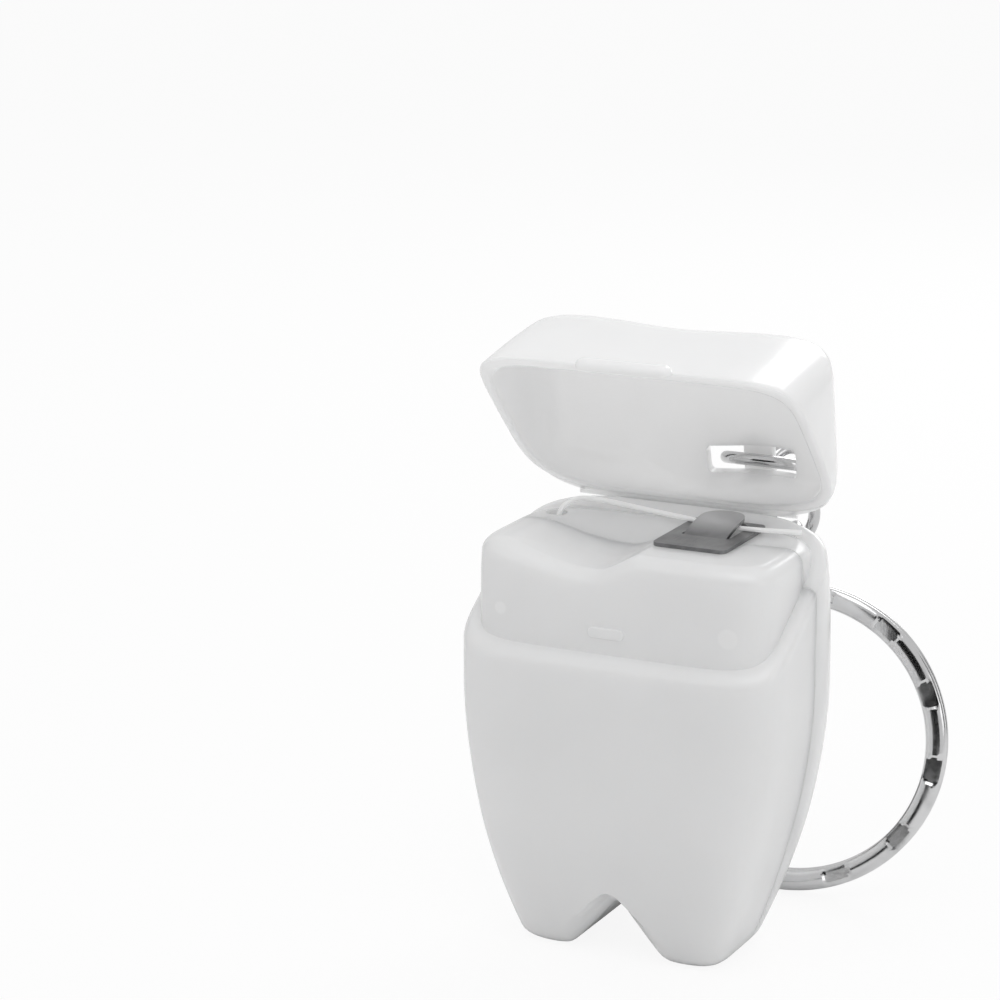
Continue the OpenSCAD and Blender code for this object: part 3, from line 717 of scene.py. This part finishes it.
def block(low, high, r=0.0, segments=3, edges="all"):
    """A box between two corners, with rounded edges."""
    bm = bmesh.new()
    low, high = Vector(low), Vector(high)
    bmesh.ops.create_cube(bm, size=1.0)
    bmesh.ops.scale(bm, vec=high - low, verts=bm.verts)
    bmesh.ops.translate(bm, vec=(low + high) / 2, verts=bm.verts)
    if r:
        picked = [e for e in bm.edges
                  if edges == "all" or abs((e.verts[0].co - e.verts[1].co).normalized().z) > 0.9]
        rounded(bm, picked, r, segments)
    return bm


def pill(middle, width, height, depth, r):
    """A bar with round ends and a rounded face towards the front, reaching back from its middle."""
    x, y, z = middle
    bm = block((x - width / 2, y, z - height / 2), (x + width / 2, y + depth, z + height / 2))
    along = [e for e in bm.edges if abs((e.verts[0].co - e.verts[1].co).normalized().y) > 0.9]
    rounded(bm, along, height * 0.49, 8)
    front = [e for e in bm.edges if max(v.co.y for v in e.verts) < y + 1e-7]
    rounded(bm, front, r, 4)
    return bm


def halved(bm, y, soft, keep_front):
    """Keeps the part in front of or behind a plane, closes it and cuts a soft edge round it."""
    side = Vector((0, 1, 0)) if keep_front else Vector((0, -1, 0))
    bmesh.ops.bisect_plane(
        bm, geom=bm.verts[:] + bm.edges[:] + bm.faces[:], dist=1e-8,
        plane_co=(0, y - side.y * soft, 0), plane_no=side, clear_outer=True)
    rim = {v for e in bm.edges if e.is_boundary for v in e.verts}
    bmesh.ops.remove_doubles(bm, verts=list(rim), dist=0.04 * MM)
    filled = bmesh.ops.holes_fill(bm, edges=[e for e in bm.edges if e.is_boundary], sides=0)["faces"]
    if not filled:
        raise RuntimeError("the parting face did not close")
    bmesh.ops.recalc_face_normals(bm, faces=bm.faces)
    bmesh.ops.inset_region(bm, faces=filled, thickness=soft, depth=soft, use_even_offset=True)
    return bm


def lid_turn():
    """The move from the closed lid to the open one in which it is shown."""
    joint = JOINTS["lid_hinge"]
    angle = math.radians(-joint["range_deg"][0])
    turn = Matrix.Rotation(angle, 4, Vector(joint["axis"]))
    return Matrix.Translation(HINGE) @ turn @ Matrix.Translation(-HINGE)


def wire(radius, start, moves):
    """A round wire swept through bends and straights, with two blunt ends.

    Each move is ("turn", centre, degrees) about the local z axis or ("run", vector)."""
    bm = bmesh.new()
    bmesh.ops.create_circle(bm, cap_ends=False, radius=radius, segments=20)
    spun(bm, 90, "X")
    bmesh.ops.translate(bm, verts=bm.verts, vec=start)
    loop = bm.edges[:]
    for kind, amount, *rest in moves:
        if kind == "turn":
            geom = bmesh.ops.spin(
                bm, geom=loop, cent=amount, axis=(0, 0, 1), dvec=(0, 0, 0), angle=math.radians(rest[0]),
                steps=max(8, int(abs(rest[0]) / 3)), use_merge=False, use_duplicate=False)["geom_last"]
        else:
            geom = bmesh.ops.extrude_edge_only(bm, edges=loop)["geom"]
            moved = [g for g in geom if isinstance(g, bmesh.types.BMVert)]
            bmesh.ops.translate(bm, verts=moved, vec=amount)
        loop = [g for g in geom if isinstance(g, bmesh.types.BMEdge) and len(g.link_faces) < 2
                and (kind == "turn" or all(v in moved for v in g.verts))]
    return blunted(bm, 0.12 * MM)


def blunted(bm, r):
    """Closes the two ends of a swept wire and softens their edges."""
    bmesh.ops.remove_doubles(bm, verts=bm.verts, dist=1e-7)
    ends = bmesh.ops.holes_fill(bm, edges=[e for e in bm.edges if e.is_boundary], sides=0)["faces"]
    if len(ends) != 2:
        raise RuntimeError("the wire has %d ends" % len(ends))
    rims = list({e for f in ends for e in f.edges})
    rounded(bm, rims, r, 2)
    bmesh.ops.recalc_face_normals(bm, faces=bm.faces)
    return bm


def placed(bm, origin, u, v):
    """Turns local x to u and local y to v, and moves the origin."""
    u, v = Vector(u).normalized(), Vector(v).normalized()
    w = u.cross(v)
    m = Matrix((u, v, w)).transposed().to_4x4()
    bmesh.ops.transform(bm, matrix=Matrix.Translation(origin) @ m, verts=bm.verts)
    return bm


def twisted(v, axis, degrees):
    return Matrix.Rotation(math.radians(degrees), 3, axis) @ v


def across(v, direction):
    v = Vector(v)
    return (v - v.dot(direction) * direction).normalized()


class Piece(bpy.types.Operator):
    """Shared settings of the operators below."""

    bl_options = {"REGISTER", "UNDO"}

    def execute(self, context):
        self.build(context.scene.floss_tooth, context.scene.floss_metal, context.scene.floss_finish)
        return {"FINISHED"}


STRAND = [
    (-9.8, 0.4, 20), (-10.9, 1.2, 26), (-11.5, 2.4, 32), (-11.4, 3.2, 36.5), (-11.2, 3.7, 38.6),
    (-10.5, 4.4, 39.5), (-9.3, 5.1, 39.8), (-7.3, 5.7, 39.6), (-4.3, 5.8, 39.3), (-0.7, 5.1, 39.195),
    (2, 4.4, 39.195), (4.7, 3.8, 39.075), (7.3, 3.5, 39.175), (9.4, 3.7, 39.195),
    (11.3, 4.3, 39.145), (12.6, 5, 39.045)]


class FLOSS_OT_strand(Piece):
    """Lays the free end of the floss from the deck hole across the cutter"""

    bl_idname = "floss.strand"
    bl_label = "Floss strand"

    def build(self, s, m, finish):
        curve = bpy.data.curves.new("floss_end", "CURVE")
        curve.dimensions = "3D"
        curve.bevel_depth = m.strand_d / 2
        curve.bevel_resolution = 3
        curve.use_fill_caps = True
        route = [Vector(p) * MM for p in STRAND]
        line = []
        for i in range(len(route) - 1):
            a, b = route[max(i - 1, 0)], route[i]
            c, d = route[i + 1], route[min(i + 2, len(route) - 1)]
            for k in steps(4)[:-1]:
                line.append((2 * b + (c - a) * k + (2 * a - 5 * b + 4 * c - d) * k * k
                             + (3 * b - a - 3 * c + d) * k ** 3) / 2)
        line.append(route[-1])
        spline = curve.splines.new("POLY")
        spline.points.add(len(line) - 1)
        for point, at in zip(spline.points, line):
            point.co = (*at, 1.0)
        obj = bpy.data.objects.new("floss_end", curve)
        bpy.context.collection.objects.link(obj)
        curve.materials.append(waxed("Waxed floss", finish.floss[:]))
        length = sum((b - a).length for a, b in zip(line, line[1:]))
        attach(obj, "base")
        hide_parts("floss_strand")
        line[16]


def case_half(s, keep_front, hole=None):
    """The body and the neck in one solid, cut at the parting line."""
    t = Tooth(s)
    overlap = 0.3 * MM
    ledge = s.lid_wall + s.neck_gap + overlap
    bm = joined(lofted(body_rows(t, ledge)), lofted(neck_rows(t)))
    if hole:
        bm = cut_away(bm, hole)
    away = -s.parting_gap / 2 if keep_front else s.parting_gap / 2
    return halved(bm, s.parting_y + away, s.parting_edge, keep_front)


class FLOSS_OT_front_shell(Piece):
    """Moulds the front shell with its neck, deck, finger scoop and snap bump"""

    bl_idname = "floss.front_shell"
    bl_label = "Front shell"

    def build(self, s, m, finish):
        marks = [(x * MM, z * MM, r * MM) for x, z, r in MARKS]
        white = moulded("Front plastic", finish.shell[:], 0.2, marks)
        face = Tooth(s).front(s.snap_z) + s.lid_wall + s.neck_gap
        snap = pill((s.snap_x, face - s.snap_out, s.snap_z), s.snap_w, s.snap_h, 1 * MM, 0.19 * MM)
        bm = joined(case_half(s, True), snap)
        shown(bm, "front_body", white, "base", "front_shell")


class FLOSS_OT_rear_cover(Piece):
    """Moulds the rear cover with its floss hole"""

    bl_idname = "floss.rear_cover"
    bl_label = "Rear cover"

    def build(self, s, m, finish):
        white = moulded("Cover plastic", finish.shell[:], 0.2)
        hole = drill((s.hole_x, s.hole_y, s.deck_z), s.hole_r, 4 * MM)
        shown(case_half(s, False, hole), "rear_shell", white, "base", "rear_cover")


class FLOSS_OT_lid(Piece):
    """Moulds the crown lid with its holes, bridge and thumb tab, and the living hinge"""

    bl_idname = "floss.lid"
    bl_label = "Crown lid"

    def build(self, s, m, finish):
        t = Tooth(s)
        # The lid gets a painted glow, which brightens its inside.
        white = moulded("Lid plastic", finish.lid[:], 0.18, depth=0.004, painted_glow=0.06)
        bm = lofted(lid_rows(t))
        top = t.crown(s.bridge_x, t.bridge_y)
        wide = (s.bridge_w + s.eye_w) / 2
        holes = block((s.bridge_x - wide - s.eye_w / 2, t.bridge_y - s.eye_len / 2, top - 4 * MM),
                      (s.bridge_x + wide + s.eye_w / 2, t.bridge_y + s.eye_len / 2, top + 3 * MM),
                      0.5 * MM, 5, "upright")
        bm = cut_away(bm, holes)
        wire_r = m.wire_d / 2
        ring_r = (m.jump_od - m.wire_d) / 2
        wire_z = top - s.lid_wall - 0.1 * MM
        low = wire_z + ring_r - math.sqrt((ring_r - wire_r) ** 2 - (s.bridge_w / 2) ** 2) + 0.12 * MM
        bridge = block((s.bridge_x - s.bridge_w / 2, t.bridge_y - s.eye_len / 2 - 1 * MM, low),
                       (s.bridge_x + s.bridge_w / 2, t.bridge_y + s.eye_len / 2 + 1 * MM, low + s.bridge_t),
                       0.3 * MM, 4)
        bm = joined(bm, bridge)
        y = t.front(s.seam_front_z) - s.tab_out
        z = s.seam_front_z - s.tab_hang + s.tab_h / 2
        bm = joined(bm, pill((0.0, y, z), s.tab_w, s.tab_h, s.tab_out - s.tab_gap, 0.5 * MM))
        foot = block((0.35 * s.tab_h - s.tab_w / 2, y + 0.5 * MM, s.seam_front_z + s.seam_gap),
                     (s.tab_w / 2 - 0.35 * s.tab_h, y + s.tab_out + 0.4 * MM, z + 0.4 * s.tab_h), 0.1 * MM)
        bm = joined(bm, foot)
        bmesh.ops.transform(bm, matrix=lid_turn(), verts=bm.verts)
        shown(bm, "crown_lid", white, "lid", "lid")
        web = frame["nodes"]["hinge_web"]
        web.data.materials.clear()
        web.data.materials.append(white)


class FLOSS_OT_cutter(Piece):
    """Stamps the steel cutter with its bent-up tongue"""

    bl_idname = "floss.cutter"
    bl_label = "Cutter"

    def build(self, s, m, finish):
        mid = m.cutter_x + m.cutter_w / 2
        z = s.deck_z
        near = Tooth(s).neck_back - m.cutter_len
        root = near + m.window_y
        tip = m.tongue_w / 2
        plate = block((m.cutter_x, near, z), (m.cutter_x + m.cutter_w, near + m.cutter_len, z + m.cutter_t),
                      m.cutter_r, 5, "upright")
        end = root + m.tongue_len
        gap = m.window_gap
        window = block((mid - tip - gap, root, z - 1 * MM), (mid + tip + gap, end - tip, z + 1 * MM))
        plate = cut_away(plate, window)
        plate = cut_away(plate, drill((mid, end - tip, z), tip + gap, 2 * MM))
        tongue = bmesh.new()
        bmesh.ops.create_grid(tongue, x_segments=16, y_segments=40, size=1.0)
        start = root - 0.3 * MM
        for v in tongue.verts:
            a, b = v.co.x, (v.co.y + 1) / 2
            y = start + (end - start) * b
            far = max(0.0, y - (end - tip))
            half = math.sqrt(max(0.0, tip * tip - far * far)) if far else tip
            half = max(half, 0.02 * MM)
            climb = max(0.0, (y - root) / m.tongue_len)
            rise = m.tongue_rise * (1 - (1 - climb) ** m.tongue_curl)
            v.co = (mid + a * half, y, z + rise)
        for face in tongue.faces:
            face.normal_update()
            if face.normal.z < 0:
                face.normal_flip()
        bmesh.ops.solidify(tongue, geom=tongue.faces[:], thickness=-m.cutter_t)
        bmesh.ops.recalc_face_normals(tongue, faces=tongue.faces)
        plate = joined(plate, tongue)
        steel = stamped("Cutter steel", finish.steel[:], z + m.cutter_t + 0.1 * MM)
        obj = shown(plate, "cutter_plate", steel, "base", "cutter", flat_over=30)
        soft = obj.modifiers.new("edges", "BEVEL")
        soft.width = 0.05 * MM
        soft.segments = 2
        soft.limit_method = "ANGLE"


class FLOSS_OT_spool(Piece):
    """Finishes the spool and the floss wound on it"""

    bl_idname = "floss.spool"
    bl_label = "Spool and winding"

    def build(self, s, m, finish):
        for node, material in (("floss_spool", moulded("Spool plastic", finish.spool[:], 0.4)),
                               ("floss_winding", waxed("Wound floss", finish.floss[:]))):
            data = frame["nodes"][node].data
            data.materials.clear()
            data.materials.append(material)


class FLOSS_OT_chain(Piece):
    """Bends the jump ring and the two links"""

    bl_idname = "floss.chain"
    bl_label = "Jump ring and links"

    def build(self, s, m, finish):
        metal = plated("Plated wire", finish.nickel[:], 0.12)
        r = m.wire_d / 2
        start = Vector(JOINTS["jump_ring_swing"]["pos_m"])
        top = Vector(JOINTS["upper_link_swing"]["pos_m"])
        mid = Vector(JOINTS["lower_link_swing"]["pos_m"])
        end = Vector(JOINTS["split_ring_swing"]["pos_m"])
        down = (top - start).normalized()
        ring_r = (m.jump_od - m.wire_d) / 2
        bent, joint_place = 356.5, 50
        bm = wire(r, (ring_r, 0, 0), [("turn", (0, 0, 0), bent)])
        spun(bm, joint_place, "Z")
        placed(bm, start + ring_r * down, (1, 0, 0), down)
        shown(bm, "jump_ring_wire", metal, "jump_ring", "jump_ring")
        for name, node, body, a, b, long, twist in (
                ("upper_link_wire", "connector_link_upper", "upper_link", top, mid, m.upper_len, -60),
                ("lower_link_wire", "connector_link_lower", "lower_link", mid, end, m.lower_len, -120)):
            along = (b - a).normalized()
            side = twisted(across((1, 0, 0), along), along, twist)
            bend = (m.link_w - m.wire_d) / 2
            straight = long - m.wire_d - 2 * bend
            half = (straight - m.joint_gap) / 2
            far = long - m.wire_d
            bm = wire(r, (-bend, bend + half + m.joint_gap, 0), [
                ("run", (0, half, 0)), ("turn", (0, bend + straight, 0), -180),
                ("run", (0, -straight, 0)), ("turn", (0, bend, 0), -180), ("run", (0, half, 0))])
            placed(bm, b - far * along, side, along)
            shown(bm, name, metal, body, node)


class FLOSS_OT_split_ring(Piece):
    """Coils the split ring and stamps its flats"""

    bl_idname = "floss.split_ring"
    bl_label = "Split ring"

    def build(self, s, m, finish):
        metal = plated("Ring steel", finish.ring[:], 0.1)
        r = (m.split_od - m.split_w) / 2
        level = (m.split_t + m.coil_gap) / 2
        bm = bmesh.new()
        bmesh.ops.create_circle(bm, cap_ends=True, segments=28, radius=0.5)
        bmesh.ops.scale(bm, vec=(m.split_w, m.split_t, 1), verts=bm.verts)
        spun(bm, 90, "X")
        bmesh.ops.translate(bm, verts=bm.verts, vec=(r, 0, -level))
        bmesh.ops.delete(bm, geom=bm.faces[:], context="FACES_ONLY")
        loop = bm.edges[:]
        for degrees, rise in ((334, 0.0), (26, 2 * level), (334, 0.0)):
            out = bmesh.ops.spin(bm, geom=loop, cent=(0, 0, 0), axis=(0, 0, 1),
                                 dvec=(0, 0, rise / degrees), angle=math.radians(degrees), steps=degrees,
                                 use_merge=False, use_duplicate=False)
            loop = [g for g in out["geom_last"] if isinstance(g, bmesh.types.BMEdge)]
        blunted(bm, 0.15 * MM)
        pitch, middle, reach = 30.0, 22.0, 5.2
        pressed = level + m.flat_z
        for v in bm.verts:
            angle = math.degrees(math.atan2(v.co.y, v.co.x)) % pitch
            if abs(angle - middle) < reach and abs(v.co.z) > pressed:
                v.co.z = math.copysign(pressed, v.co.z)
        end = Vector(JOINTS["split_ring_swing"]["pos_m"])
        turn, lean = math.radians(10), math.radians(10)
        u = Vector((math.cos(turn), math.sin(turn), 0))
        v = Vector((-math.sin(turn) * math.sin(lean), math.cos(turn) * math.sin(lean), math.cos(lean)))
        seat = r - m.split_w / 2 - m.wire_d / 2 - m.ring_play
        ends_place = 150
        spun(bm, ends_place, "Z")
        placed(bm, end - seat * v, u, v)
        shown(bm, "split_ring_coils", metal, "split_ring", "split_ring", flat_over=28)


# Camera: focal length, place, and the directions to its back and its right side
LENS = 122.43
CAMERA_PLACE = (0.1224, -0.27536, 0.11865)
CAMERA_BACK = (0.4343, -0.8661, 0.2473)
CAMERA_SIDE = (0.8939, 0.4482, 0.0)
# Square lamps: name, place, aim, width and watts
LAMPS = (
    ("Key", (-0.2, -0.32, 0.3), (0.0, 0.0, 0.02), 0.12, 0.04),
    ("Fill", (0.37, -0.06, 0.12), (0.0, 0.0, 0.025), 0.16, 0.07),
    ("Top", (0.04, -0.15, 0.36), (0.0, 0.0, 0.03), 0.24, 0.27),
    ("Rim", (0.0, 0.34, 0.24), (0.0, 0.0, 0.04), 0.2, 0.42))
# Dark boards: name, place, width and height
CARDS = (
    ("card_front", (-0.02, -0.45, 0.08), (0.32, 0.36)),
    ("card_behind_camera", (0.25, -0.53, 0.16), (0.2, 0.3)),
    ("card_right", (0.42, 0.16, 0.1), (0.14, 0.4)),
    ("card_left", (-0.4, 0.05, 0.12), (0.14, 0.4)))


class FLOSS_OT_stage(Piece):
    """Sets the camera, the lamps, the floor and the white background"""

    bl_idname = "floss.stage"
    bl_label = "Studio"

    def build(self, s, m, finish):
        scene = bpy.context.scene
        scene.view_settings.view_transform = "Standard"
        camera = bpy.data.cameras.new("Camera")
        camera.lens = LENS
        camera.sensor_width = 36.0
        camera.clip_start = 0.01
        obj = bpy.data.objects.new("Camera", camera)
        scene.collection.objects.link(obj)
        back = Vector(CAMERA_BACK).normalized()
        side = Vector(CAMERA_SIDE).normalized()
        up = back.cross(side)
        turn = Matrix((side, up, back)).transposed().to_4x4()
        obj.matrix_world = Matrix.Translation(CAMERA_PLACE) @ turn
        scene.camera = obj
        world = Finish("Studio", bpy.data.worlds)
        scene.world = world.owner
        path = world.add("ShaderNodeLightPath")
        light, white = (
            world.add("ShaderNodeBackground", {}, {"Color": (1.0, 1.0, 1.0, 1.0), "Strength": strength})
            for strength in (0.68, 1.0))
        seen = world.add("ShaderNodeMath", {"operation": "MAXIMUM"}, {
            0: path["Is Camera Ray"], 1: path["Is Transmission Ray"]})[0]
        world.parted(seen, light, white, "ShaderNodeOutputWorld")
        for settings in LAMPS:
            self.lamp(*settings)
        self.floor()
        for settings in CARDS:
            self.card(*settings)

    def lamp(self, name, place, aim, across_m, watts):
        data = bpy.data.lights.new(name, "AREA")
        data.shape = "SQUARE"
        data.size = across_m
        data.energy = watts
        obj = bpy.data.objects.new(name, data)
        bpy.context.scene.collection.objects.link(obj)
        away = Vector(place) - Vector(aim)
        obj.matrix_world = Matrix.Translation(place) @ away.to_track_quat("Z", "Y").to_matrix().to_4x4()

    def card(self, name, place, across_m):
        """A dark board beside the set, which the metal reflects and the camera does not see."""
        f = Finish(name)
        path = f.add("ShaderNodeLightPath")
        matt = f.add("ShaderNodeBsdfDiffuse", {}, {"Color": (0.012, 0.012, 0.012, 1.0)})
        f.parted(path["Is Camera Ray"], matt, f.add("ShaderNodeBsdfTransparent"))
        bm = bmesh.new()
        bmesh.ops.create_grid(bm, x_segments=1, y_segments=1, size=0.5)
        bmesh.ops.scale(bm, vec=(*across_m, 1), verts=bm.verts)
        away = (Vector(place) - Vector((0.0, 0.0, 0.03))).to_track_quat("Z", "Y").to_matrix().to_4x4()
        bmesh.ops.transform(bm, matrix=Matrix.Translation(place) @ away, verts=bm.verts)
        linked(bm, name, f.owner)

    def floor(self):
        f = Finish("Floor white")
        path = f.add("ShaderNodeLightPath")
        matt = f.add("ShaderNodeBsdfDiffuse", {}, {"Color": (0.9, 0.9, 0.9, 1.0)})
        white = f.add("ShaderNodeEmission", {}, {"Color": (1.0, 1.0, 1.0, 1.0), "Strength": 1.0})
        f.parted(path["Is Camera Ray"] * 0.9, matt, white)
        bm = bmesh.new()
        bmesh.ops.create_grid(bm, x_segments=2, y_segments=2, size=1.5)
        linked(bm, "floor", f.owner)


OPERATORS = (
    FLOSS_OT_stage, FLOSS_OT_strand, FLOSS_OT_front_shell, FLOSS_OT_rear_cover, FLOSS_OT_lid,
    FLOSS_OT_cutter, FLOSS_OT_spool, FLOSS_OT_chain, FLOSS_OT_split_ring)


class FLOSS_PT_panel(bpy.types.Panel):
    """Lists the pieces in the sidebar"""

    bl_label = "Floss dispenser"
    bl_idname = "FLOSS_PT_panel"
    bl_space_type = "VIEW_3D"
    bl_region_type = "UI"
    bl_category = "Floss"

    def draw(self, context):
        for operator in OPERATORS:
            self.layout.operator(operator.bl_idname)
        for group in (context.scene.floss_finish, context.scene.floss_metal, context.scene.floss_tooth):
            box = self.layout.box()
            for name in group.__annotations__:
                box.prop(group, name)


GROUPS = (("floss_tooth", ToothSizes), ("floss_metal", MetalSizes), ("floss_finish", Finishes))


def register():
    for name, group in GROUPS:
        bpy.utils.register_class(group)
        setattr(bpy.types.Scene, name, bpy.props.PointerProperty(type=group))
    for operator in OPERATORS:
        bpy.utils.register_class(operator)
    bpy.utils.register_class(FLOSS_PT_panel)


def unregister():
    bpy.utils.unregister_class(FLOSS_PT_panel)
    for operator in reversed(OPERATORS):
        bpy.utils.unregister_class(operator)
    for name, group in reversed(GROUPS):
        delattr(bpy.types.Scene, name)
        bpy.utils.unregister_class(group)


def main():
    register()
    for operator in OPERATORS:
        group, name = operator.bl_idname.split(".")
        getattr(getattr(bpy.ops, group), name)()


if __name__ == "__main__":
    main()
